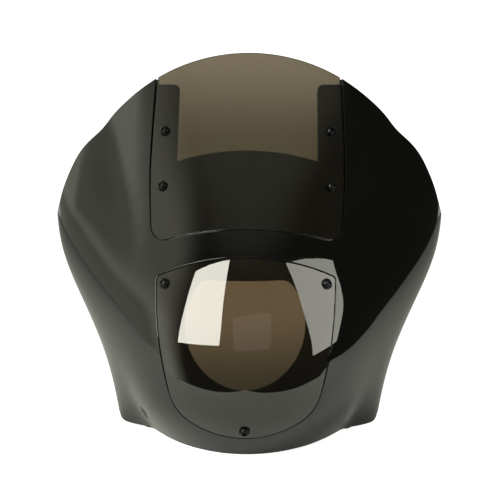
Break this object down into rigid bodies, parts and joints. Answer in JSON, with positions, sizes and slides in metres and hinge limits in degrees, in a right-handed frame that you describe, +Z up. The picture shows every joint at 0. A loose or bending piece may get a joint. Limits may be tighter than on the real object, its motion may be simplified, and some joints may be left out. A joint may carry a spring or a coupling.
{
  "type": "headlight cowl",
  "caption": "Gloss black moulded headlight cowl for a motorcycle with a flush smoked windscreen above a flush smoked lens, held by button head screws.",
  "frame": {"origin": "middle of the footprint of the bounding box, on the surface that the cowl stands on", "axes": "+Z up, nose towards -Y, +X to the right as seen from the front; symmetric about X = 0"},
  "size_m": [0.4628, 0.2411, 0.44],
  "materials": {
    "gloss_black_abs": "gloss",
    "smoked_acrylic": "gloss, see-through",
    "black_steel": "satin black oxide",
    "zinc_steel": "bright zinc",
    "brass": "machined"
  },
  "bodies": {
    "root": {"cowl_shell": "gloss_black_abs", "windscreen": "smoked_acrylic", "headlight_lens": "smoked_acrylic", "windscreen_screws": "black_steel", "windscreen_washers": "black_steel", "windscreen_back_washers": "zinc_steel", "windscreen_lock_nuts": "zinc_steel", "lens_screws": "black_steel", "lens_washers": "black_steel", "lens_back_washers": "zinc_steel", "lens_lock_nuts": "zinc_steel", "bracket_inserts": "brass"}
  },
  "joints": []
}
